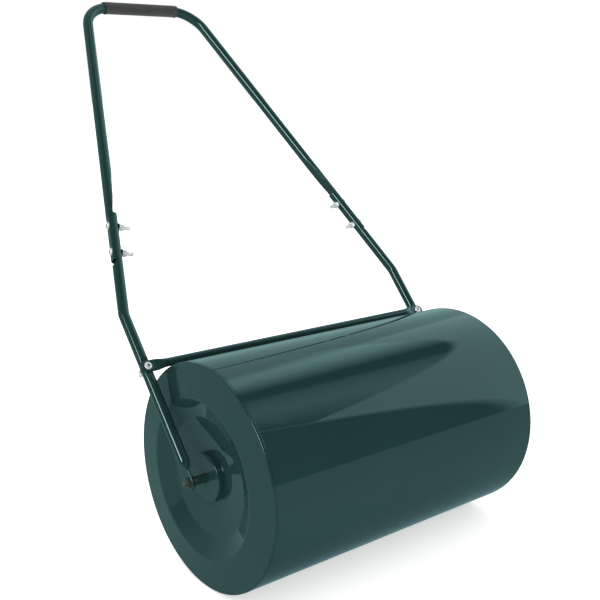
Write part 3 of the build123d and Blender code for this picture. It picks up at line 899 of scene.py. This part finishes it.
def bolt_mesh(matrix, head_radius, head_height, length, thread):
    """M6 button-head bolt: domed head with a hexagon socket, plain shank and threaded end."""
    count = 96
    rows = [(0.0, head_radius * 0.97), (0.00025, head_radius)]
    for step in range(0, 8):
        angle = math.pi / 2 * step / 7
        height = head_height * 0.3 + head_height * 0.7 * math.sin(angle)
        rows.append((height, head_radius - head_height * 0.62 * (1 - math.cos(angle)) * 1.35))
    top = rows[-1][0]
    floor = top - SOCKET_DEPTH
    rows += [
        (top, HEX_SOCKET / 2 / math.cos(math.pi / 6) * 1.12),
        (top - 0.0003, hexagonal(HEX_SOCKET, 0.00005)),
        (floor + 0.0001, hexagonal(HEX_SOCKET, 0.00005)),
        (floor, hexagonal(HEX_SOCKET * 0.96, 0.0001)),
    ]
    upper = ring_stack(rows, count, matrix)
    verts = [v for ring in upper for v in ring]
    faces = ring_faces(len(upper), count, closed=False)
    verts.append(matrix @ Vector((0, 0, floor - 0.0004)))
    faces += fan((len(upper) - 1) * count, count, len(verts) - 1)
    verts.append(matrix @ Vector((0, 0, 0)))
    faces += [(after, index, centre) for index, after, centre in fan(0, count, len(verts) - 1)]
    thread_top = thread - length
    plain = ring_stack([(0.0001, M6), (thread_top + 0.0006, M6)], 32, matrix)
    threads = thread_rings(M6, M6_PITCH, -length, thread_top, matrix)
    return combine([(verts, faces), skin(plain + threads[::-1])])


def leg_frame(side, along, offset):
    """Point on the leg and its outward axis, for a lap bolt."""
    across, up = leg_point(along, offset)
    origin = frame_point(side * across, up)
    axis = RIGHT * (side * math.cos(LEG)) + UP_FRAME * math.sin(LEG)
    return origin, axis


# heads are (radius, height), nuts (width across flats, height), washers (hole, radius, height)
LAP_HEAD_SEAT = BOW_SEAT[0][1]
LAP_NUT_SEAT = ARM_SEAT[-1][1]
LAP_HEAD = (0.0058, 0.0030)
LAP_THREAD = 0.020
LAP_THREAD_SHOWN = 0.0105
LAP_NUT_HEIGHT = 0.0075
BRACE_HEAD_SEAT = BRACE_SEAT + BRACE_EYE
BRACE_HEAD = (0.0057, 0.0025)
BRACE_THREAD = 0.019
BRACE_THREAD_SHOWN = 0.007
SMALL_WASHER = (0.0033, 0.006, 0.0012)
M6 = 0.003
M6_PITCH = 0.001
M6_NUT = (0.010, 0.005)
M6_NUT_HOLE = M6 + 0.00002
HEX_SOCKET = 0.004
SOCKET_DEPTH = 0.0022
M8_NUT = 0.013
M8_NUT_HOLE = 0.0041


def sided_piece(word, title, mesh, material):
    """Frame piece that replaces the node of the same title and side."""
    finish_piece(word + "_" + title, *mesh, material, "frame", [title + "_" + word])


def random_spin():
    """A bolt's or nut's own turn about its axis."""
    return FRONT * math.cos(random.uniform(0, 1)) + UP_FRAME * math.sin(random.uniform(0, 1))


for side, word in ((-1, "left"), (1, "right")):
    bolts, washers, nuts = [], [], []
    for along in LAP_BOLTS:
        spin = random_spin()
        head, axis = leg_frame(side, along, LAP_HEAD_SEAT)
        length = LAP_HEAD_SEAT - LAP_NUT_SEAT + SMALL_WASHER[2] + LAP_NUT_HEIGHT + LAP_THREAD_SHOWN
        bolts.append(bolt_mesh(stand(head, axis, spin), *LAP_HEAD, length, LAP_THREAD))
        seat, axis = leg_frame(side, along, LAP_NUT_SEAT)
        washers.append(washer_mesh(stand(seat, -axis, spin), *SMALL_WASHER))
        nut_stand = stand(seat - axis * SMALL_WASHER[2], -axis, random_spin())
        nuts.append(nut_mesh(nut_stand, M6_NUT[0], LAP_NUT_HEIGHT, M6_NUT_HOLE))
    sided_piece(word, "lap_bolts", combine(bolts), ZINC)
    sided_piece(word, "lap_washers", combine(washers), BLACK_STEEL)
    sided_piece(word, "lap_nuts", combine(nuts), ZINC)

    spin = RIGHT * math.cos(0.3 + side) + UP_FRAME * math.sin(0.3 + side)
    seat = frame_point(side * ARM_OFFSET, BRACE_HEIGHT, BRACE_HEAD_SEAT)
    length = BRACE_HEAD_SEAT + TUBE / 2 + SMALL_WASHER[2] + M6_NUT[1] + BRACE_THREAD_SHOWN
    bolt = bolt_mesh(stand(seat, FRONT, spin), *BRACE_HEAD, length, BRACE_THREAD)
    sided_piece(word, "brace_bolt", bolt, ZINC)
    back = frame_point(side * ARM_OFFSET, BRACE_HEIGHT, -TUBE / 2)
    washer = washer_mesh(stand(back, -FRONT, spin), *SMALL_WASHER)
    sided_piece(word, "brace_washer", washer, ZINC)
    back = frame_point(side * ARM_OFFSET, BRACE_HEIGHT, -TUBE / 2 - SMALL_WASHER[2])
    nut = nut_mesh(stand(back, -FRONT, RIGHT + UP_FRAME * 0.2 * side), *M6_NUT, M6_NUT_HOLE)
    sided_piece(word, "brace_nut", nut, ZINC)

    turned = UP_FRAME + FRONT * (0.5 * side)
    for title, box, twist in (("axle_nut", NUT_BOX, turned), ("inner_nut", INNER_NUT_BOX, FRONT)):
        start = box[0].y
        end = box[1].y
        seat = AXLE + RIGHT * (side * start)
        nut = nut_mesh(stand(seat, RIGHT * side, twist), M8_NUT, end - start, M8_NUT_HOLE)
        sided_piece(word, title, nut, AXLE_STEEL)


# threads are (radius, pitch)
AXLE_RADIUS = 0.005
AXLE_BEVEL = 0.0005
AXLE_END_RADIUS = 0.00408
AXLE_THREAD = (0.0039, 0.00125)


def axle_mesh():
    """Axle rod: a plain bar with a threaded, chamfered end at each side."""
    shoulder = WASHER_BOX[0].y
    thread_start = NUT_BOX[1].y - 0.0002
    bevelled = AXLE_RADIUS - AXLE_BEVEL
    rows = [(-shoulder, bevelled), (AXLE_BEVEL - shoulder, AXLE_RADIUS)]
    rows += [(shoulder * (step / 10), AXLE_RADIUS) for step in range(-9, 10)]
    rows += [(shoulder - AXLE_BEVEL, AXLE_RADIUS), (shoulder, bevelled)]
    parts = [skin(ring_stack(rows, 48, stand(AXLE, RIGHT, FRONT)))]
    for side in (-1, 1):
        placed = stand(AXLE, RIGHT * side, FRONT)
        plain_rows = [(shoulder - 0.001, AXLE_END_RADIUS), (thread_start, AXLE_END_RADIUS)]
        plain = ring_stack(plain_rows, 48, placed)
        threads = thread_rings(*AXLE_THREAD, thread_start, AXLE_TIP, placed, 48)
        parts.append(skin(plain + threads))
    return combine(parts)


finish_piece("axle", *axle_mesh(), AXLE_STEEL, "frame", ["axle_rod"])


# ---- filler opening and plug -----------------------------
filler_stand = stand(FILLER, RIGHT, Vector((1, 0, 0)))
BORE = 0.012
COLLAR_DEPTH = 0.016
GASKET_R = 0.01615
GASKET_HEIGHT = 0.0015

collar = [(-COLLAR_DEPTH, BORE), (-COLLAR_DEPTH, COLLAR_R - 0.0004)]
collar += [(0.0004 - COLLAR_DEPTH, COLLAR_R), (-0.0012, COLLAR_R)]
collar += [(-0.0005, COLLAR_R - 0.0003), (-0.0001, COLLAR_R - 0.0009), (0.0, COLLAR_R - 0.0014)]
collar += [(0.0, BORE + 0.0008), (-0.0002, BORE + 0.0002), (-0.0008, BORE)]
finish_piece("collar", *closed_rings(collar, 96, filler_stand), DRUM_PAINT, "drum", ["filler_collar"])
gasket = [(0.0, BORE + 0.0003), (0.0, GASKET_R - 0.00035), (0.0004, GASKET_R)]
gasket += [(GASKET_HEIGHT - 0.0004, GASKET_R), (GASKET_HEIGHT, GASKET_R - 0.00035)]
gasket += [(GASKET_HEIGHT, BORE + 0.0003)]
finish_piece("gasket", *closed_rings(gasket, 96, filler_stand), RUBBER, "drum", ["filler_gasket"])


PLUG_SEAT = 0.0018
PLUG_HEAD_R = 0.017
PLUG_THREAD = (BORE - 0.0004, 0.0025)
PLUG_THREAD_LENGTH = 0.0156
WING_REACH = 0.0095
WING_ROUND = 0.0025
WING_ROWS = ((0.0022, 0.0), (0.0048, 0.0), (0.0058, 0.0002), (0.0063, 0.0006), (0.0065, 0.0012))


def knurl(radius):
    """Radius function of a finely ribbed rim."""
    return lambda angle: radius - 0.00035 * (0.5 + 0.5 * math.cos(48 * angle)) ** 2


def plug_mesh():
    """Screw-in plug: knurled head rim, shallow dish, wing grip and coarse thread below."""
    head = PLUG_HEAD_R
    placed = filler_stand @ Matrix.Translation((0, 0, PLUG_SEAT))
    rows = [(0.0, 0.0117), (0.0, head - 0.0005), (0.0003, knurl(head)), (0.0021, knurl(head))]
    rows += [(0.0026, head - 0.0003), (0.0029, head - 0.0008), (0.003, head - 0.0014)]
    rows += [(0.003, head - 0.0028), (0.0027, head - 0.0034), (0.0026, head - 0.0042), (0.0026, 0.002)]
    head_rings = ring_stack(rows, 384, placed)
    downward = placed @ Matrix.Rotation(math.pi, 4, "X")
    stem = thread_rings(*PLUG_THREAD, 0.0, PLUG_THREAD_LENGTH, downward, 96, 10)
    wing = []
    for height, shrink in WING_ROWS:
        ring = []
        for index in range(48):
            angle = 2 * math.pi * index / 48
            middle = WING_REACH if math.cos(angle) > 0 else -WING_REACH
            x = middle + (WING_ROUND - shrink) * math.cos(angle)
            waist = 1.0 - 0.12 * (1 - abs(x) / (WING_REACH + WING_ROUND))
            y = (WING_ROUND - shrink) * math.sin(angle) * waist
            ring.append(placed @ Vector((x, y, height)))
        wing.append(ring)
    return combine([skin(head_rings), skin(stem), skin(wing)])


finish_piece("plug", *plug_mesh(), PLUG_PLASTIC, "plug", ["filler_plug"])


# ---- foam grip -------------------------------------------
def grip_mesh():
    """Foam sleeve that follows the bar and its corners, with soft lips and an uneven skin."""
    corner = bow_corner()
    setback = CORNER_RADIUS * math.tan((math.pi / 2 - LEG) / 2)
    bar_half = corner - setback
    bend = GRIP_LENGTH / 2 - bar_half
    centre = Vector((bar_half, TOP_HEIGHT - CORNER_RADIUS))

    def place(along):
        """Axis point, outward direction and run direction at a distance from the middle."""
        side = 1 if along >= 0 else -1
        reach = abs(along)
        if reach <= bar_half:
            return Vector((along, TOP_HEIGHT)), Vector((0, 1)), Vector((1, 0))
        angle = math.pi / 2 - (reach - bar_half) / CORNER_RADIUS
        out = Vector((side * math.cos(angle), math.sin(angle)))
        point = Vector((side * centre.x, centre.y)) + out * CORNER_RADIUS
        return point, out, Vector((out.y, -out.x))

    half = bar_half + bend
    inner = BOW_SIZE / 2 + 0.00005
    rows = [(-half + 0.0012, inner), (-half + 0.0006, inner + 0.0004), (-half, inner + 0.0011)]
    rows += [(-half - 0.0001, GRIP_RADIUS - 0.0009), (-half + 0.0002, GRIP_RADIUS - 0.0003)]
    rows += [(-half + 0.0008, GRIP_RADIUS + 0.0001), (-half + 0.0022, GRIP_RADIUS + 0.0002)]
    steps = 150
    for step in range(1, steps):
        along = -half + 0.0022 + (2 * half - 0.0044) * step / steps
        edge = min(along + half, half - along)
        bulge = 0.0002 * math.exp(-edge / 0.003) - 0.0001 * ease(edge / 0.03)
        rows.append((along, GRIP_RADIUS + bulge))
    rows += [(-along, radius) for along, radius in reversed(rows[:7])]
    count = 96
    verts = []
    for row, (along, radius) in enumerate(rows):
        point, out, run = place(along)
        axis_point = frame_point(point.x, point.y)
        outward = RIGHT * out.x + UP_FRAME * out.y
        for index in range(count):
            angle = 2 * math.pi * index / count
            direction = outward * math.cos(angle) + FRONT * math.sin(angle)
            reach = radius
            if radius > inner + 0.001:
                spot = axis_point + direction * radius
                reach += 0.00012 * noise.noise(spot * 130.0) + 0.00005 * noise.noise(spot * 700.0)
            verts.append(axis_point + direction * reach)
    return verts, ring_faces(len(rows), count, closed=True)


grip = finish_piece("grip", *grip_mesh(), FOAM, "frame", ["grip_sleeve"])

# ---- CAD nodes that stay as they are ---------------------
centre_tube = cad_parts["centre_tube"]
centre_tube.data.materials.clear()
centre_tube.data.materials.append(TUBE_STEEL)

# ---- floor, light and camera -----------------------------
FLOOR_STEPS = 24
FLOOR_SIZE = 60.0
FLOOR_DROP = 0.0002


def floor_mesh():
    """Level square grid just under the roller."""
    mesh = bpy.data.meshes.new("studio_floor")
    row = FLOOR_STEPS + 1
    places = [FLOOR_SIZE * (i / FLOOR_STEPS - 0.5) for i in range(row)]
    verts = [(x, y, -FLOOR_DROP) for x in places for y in places]
    corners = [i * row + j for i in range(FLOOR_STEPS) for j in range(FLOOR_STEPS)]
    mesh.from_pydata(verts, [], [(low, low + row, low + row + 1, low + 1) for low in corners])
    return mesh


def pale_floor():
    """Nearly white, matt floor that gives a little light of its own."""
    material, nodes, shader, coords = new_material("pale_sweep")
    cloudy = nodes.noise(coords, 1.2, 4.0)
    tint = nodes.ramp(cloudy, ((0.3, (0.97, 0.97, 0.97)), (0.7, (1.0, 1.0, 1.0))))
    nodes.link(tint, shader.inputs["Base Color"])
    shader.inputs["Roughness"].default_value = 1.0
    shader.inputs["Specular IOR Level"].default_value = 0.0
    nodes.link(tint, shader.inputs["Emission Color"])
    shader.inputs["Emission Strength"].default_value = 0.55
    return material


floor = bpy.data.objects.new("studio_floor", floor_mesh())
bpy.context.scene.collection.objects.link(floor)
floor.visible_glossy = False
floor.data.materials.append(pale_floor())

# angles in degrees; an azimuth runs from +X towards +Y
WALL_EDGE = (48.3, 49.2)
WALL_FACING = 87.6
WALL_TOP = 0.956
LAMP_AZIMUTH = (-86.0, -46.0)
LAMP_ELEVATION = (24.0, 32.0)
LAMP_SOFT = 5.0
LAMP_COLOUR = (8.5, 12.5, 11.8)


def studio_world():
    """Room of soft panels for reflections, white to the camera and to diffuse light."""
    world = bpy.data.worlds.new("studio")
    bpy.context.scene.world = world
    world.use_nodes = True
    nodes = Nodes(world.node_tree)
    out = nodes.add("ShaderNodeOutputWorld")
    direction = nodes.add("ShaderNodeTexCoord").outputs["Generated"]
    parts = nodes.add("ShaderNodeSeparateXYZ")
    nodes.link(direction, parts.inputs[0])
    x, y, z = parts.outputs
    azimuth = nodes.math("DEGREES", nodes.math("ARCTAN2", y, x))
    flat = nodes.math("SQRT", nodes.math("ADD", nodes.math("MULTIPLY", x, x), nodes.math("MULTIPLY", y, y)))
    slope = nodes.math("DIVIDE", z, nodes.math("MAXIMUM", flat, 0.0001))
    elevation = nodes.math("DEGREES", nodes.math("ARCTANGENT", slope))

    def level(source, low, high, stops):
        """Colour along an angle, from (degrees, colour) stops."""
        scaled = nodes.span(source, low, high, 0.0, 1.0)
        return nodes.ramp(scaled, [((place - low) / (high - low), colour) for place, colour in stops])

    # upright walls by azimuth
    walls_stops = (
        (-180.0, (0.235, 0.41, 0.415)),
        (-128.0, (0.205, 0.365, 0.375)),
        (-100.0, (0.0, 0.0, 0.0)),
        (WALL_EDGE[0], (0.0, 0.0, 0.0)),
        (WALL_EDGE[1], (0.73, 1.18, 1.26)),
        (125.9, (0.73, 1.18, 1.26)),
        (126.6, (0.46, 0.76, 0.78)),
        (129.0, (0.41, 0.70, 0.71)),
        (180.0, (0.30, 0.50, 0.50)),
    )
    walls = level(azimuth, -180.0, 180.0, walls_stops)
    ceiling_stops = (
        (49.0, (0.0, 0.0, 0.0)),
        (55.0, (0.25, 0.44, 0.41)),
        (65.0, (0.46, 0.77, 0.86)),
        (75.0, (0.34, 0.60, 0.65)),
        (83.0, (0.21, 0.37, 0.35)),
        (88.0, (0.0, 0.0, 0.0)),
        (98.0, (0.0, 0.0, 0.0)),
        (105.0, (0.34, 0.57, 0.60)),
        (115.0, (0.79, 1.36, 1.45)),
        (123.0, (0.98, 1.70, 1.77)),
        (130.0, (0.48, 0.80, 0.82)),
        (180.0, (0.22, 0.37, 0.37)),
    )
    ceiling = level(azimuth, -180.0, 180.0, ceiling_stops)
    ground_stops = (
        (-90.0, (0.06, 0.10, 0.10)),
        (-60.0, (0.09, 0.145, 0.165)),
        (-48.0, (0.14, 0.24, 0.275)),
        (-30.0, (0.22, 0.375, 0.385)),
        (-2.0, (0.23, 0.40, 0.41)),
        (0.0, (0.28, 0.46, 0.47)),
    )
    ground = level(elevation, -90.0, 0.0, ground_stops)
    # ceiling above the far wall's level top edge, whose slope falls with the cosine of the angle
    # from the direction that the wall faces
    room_angle = nodes.math("RADIANS", nodes.math("SUBTRACT", azimuth, WALL_FACING))
    edge = nodes.math("MULTIPLY", nodes.math("COSINE", room_angle), WALL_TOP)
    above = nodes.span(nodes.math("SUBTRACT", slope, edge), -0.01, 0.01, 0.0, 1.0)
    above = nodes.math("MULTIPLY", above, nodes.span(azimuth, *WALL_EDGE, 0.0, 1.0))
    room = nodes.mix(above, walls, ceiling)
    below = nodes.span(slope, 0.01, -0.01, 0.0, 1.0)
    room = nodes.mix(below, room, ground)

    def window(source, low, high):
        """1 inside a span of degrees, falling to 0 over a soft edge."""
        rise = nodes.span(source, low - LAMP_SOFT, low, 0.0, 1.0)
        fall = nodes.span(source, high, high + LAMP_SOFT, 1.0, 0.0)
        return nodes.math("MULTIPLY", rise, fall)

    # a small bright strip lamp, which draws the thin highlights along the tubes
    lamp = nodes.math("MULTIPLY", window(azimuth, *LAMP_AZIMUTH), window(elevation, *LAMP_ELEVATION))
    room = nodes.mix(lamp, room, LAMP_COLOUR)

    panels = nodes.add("ShaderNodeBackground")
    nodes.link(room, panels.inputs["Color"])
    even = nodes.add("ShaderNodeBackground")
    even.inputs["Color"].default_value = (1.0, 1.0, 1.0, 1.0)
    even.inputs["Strength"].default_value = 1.0
    path = nodes.add("ShaderNodeLightPath")
    blend = nodes.add("ShaderNodeMixShader")
    nodes.link(path.outputs["Is Glossy Ray"], blend.inputs[0])
    nodes.link(even.outputs[0], blend.inputs[1])
    nodes.link(panels.outputs[0], blend.inputs[2])
    nodes.link(blend.outputs[0], out.inputs["Surface"])


studio_world()

CAMERA_PLACE = (1.0158, -0.9064, 0.6822)
CAMERA_TILT = math.radians(77.132)
CAMERA_TURN = math.radians(50.906)
camera_data = bpy.data.cameras.new("photo_camera")
camera_data.lens = 57.17
camera_data.sensor_width = 36.0
camera = bpy.data.objects.new("photo_camera", camera_data)
camera.location = CAMERA_PLACE
camera.rotation_euler = (CAMERA_TILT, 0.0, CAMERA_TURN)
bpy.context.scene.collection.objects.link(camera)
bpy.context.scene.camera = camera
bpy.context.scene.view_settings.view_transform = "Standard"
